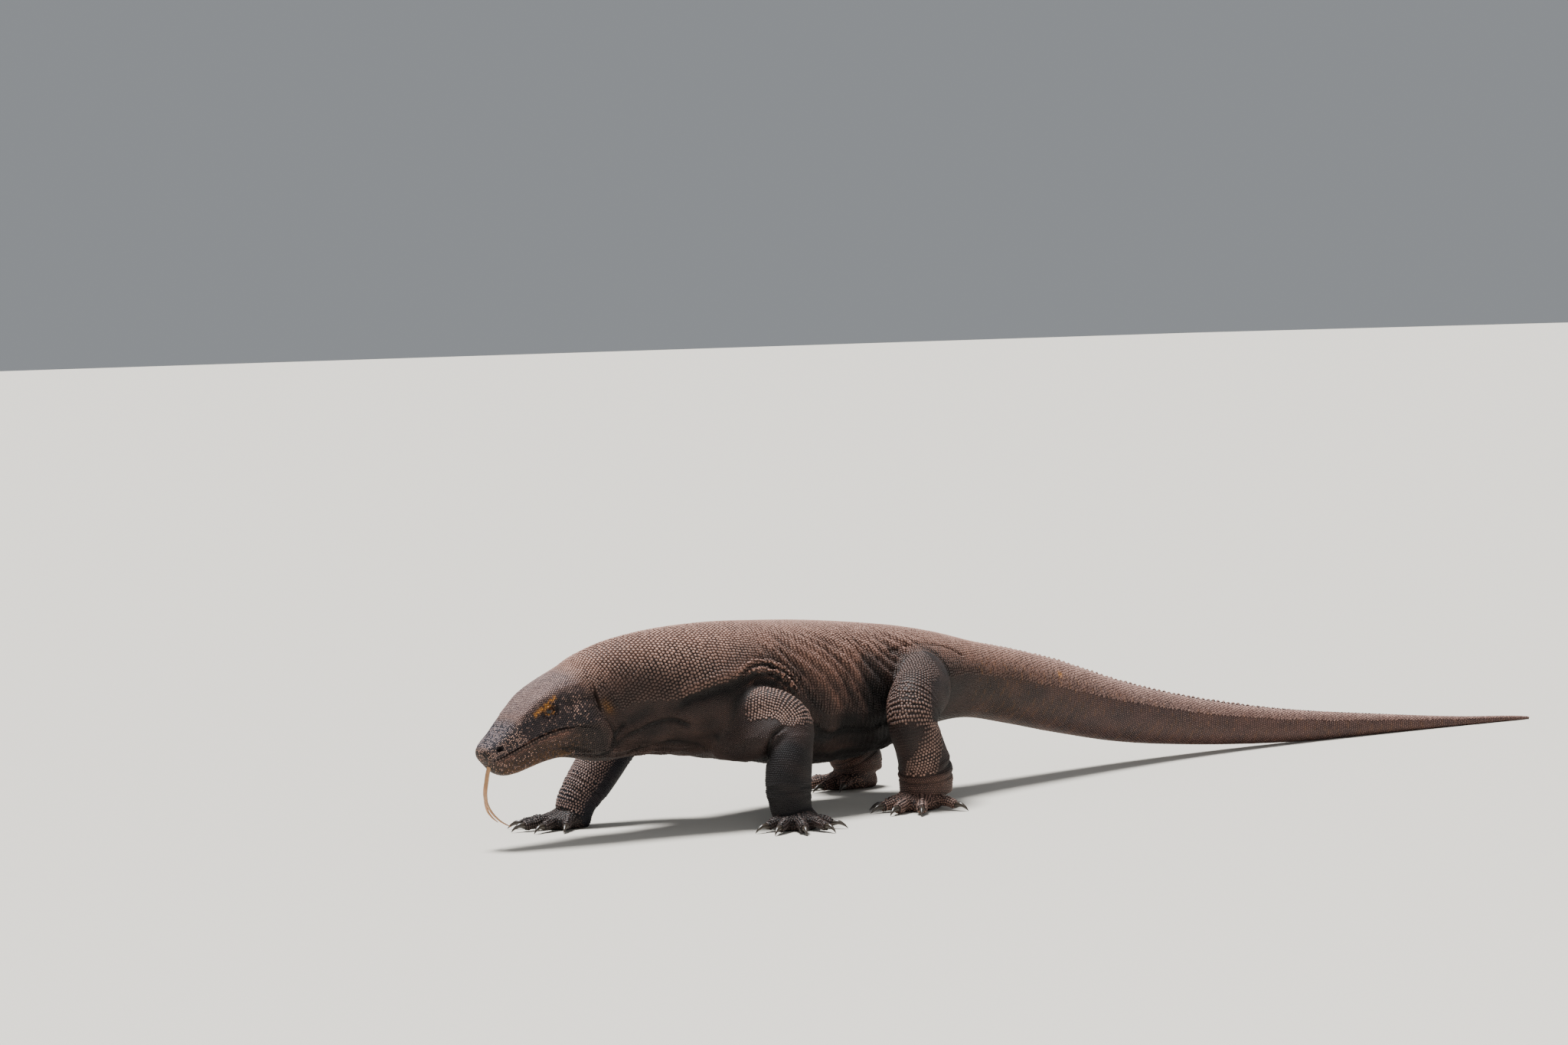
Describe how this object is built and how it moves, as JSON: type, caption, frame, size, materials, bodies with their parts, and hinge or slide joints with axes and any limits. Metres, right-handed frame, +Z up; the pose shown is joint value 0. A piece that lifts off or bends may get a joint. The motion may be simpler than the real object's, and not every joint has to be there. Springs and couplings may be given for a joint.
{
  "type": "komodo dragon",
  "caption": "Life-size walking Komodo dragon, a heavy monitor lizard with low-held head, forked tongue out, clawed feet and long tapering tail; stands on its own feet.",
  "frame": {"origin": "middle of the bounding box on the floor the feet stand on", "axes": "-X towards the head, +X along the tail, -Y to the animal's left, +Z up"},
  "size_m": [2.3768, 0.5418, 0.3162],
  "materials": {
    "hide": "dry beaded scales, grey-brown with a reddish cast on the back",
    "dark_hide": "dry scaly hide, darker on the hands and feet",
    "claw": "dark polished horn",
    "eye": "wet gloss, dark brown",
    "tongue": "moist, yellowish pink"
  },
  "bodies": {
    "root": {"head": "hide", "left_eye": "eye", "left_foot": "dark_hide", "left_foot_claw_1": "claw", "left_foot_claw_2": "claw", "left_foot_claw_3": "claw", "left_foot_claw_4": "claw", "left_foot_claw_5": "claw", "left_forearm": "hide", "left_hand": "dark_hide", "left_hand_claw_1": "claw", "left_hand_claw_2": "claw", "left_hand_claw_3": "claw", "left_hand_claw_4": "claw", "left_hand_claw_5": "claw", "left_shin": "hide", "left_thigh": "hide", "left_upper_arm": "hide", "lower_jaw": "hide", "neck": "hide", "right_eye": "eye", "right_foot": "dark_hide", "right_foot_claw_1": "claw", "right_foot_claw_2": "claw", "right_foot_claw_3": "claw", "right_foot_claw_4": "claw", "right_foot_claw_5": "claw", "right_forearm": "hide", "right_hand": "dark_hide", "right_hand_claw_1": "claw", "right_hand_claw_2": "claw", "right_hand_claw_3": "claw", "right_hand_claw_4": "claw", "right_hand_claw_5": "claw", "right_shin": "hide", "right_thigh": "hide", "right_upper_arm": "hide", "tail_base": "hide", "tail_end": "hide", "tail_middle": "hide", "tail_tip": "hide", "tongue": "tongue", "torso": "hide"}
  },
  "joints": []
}
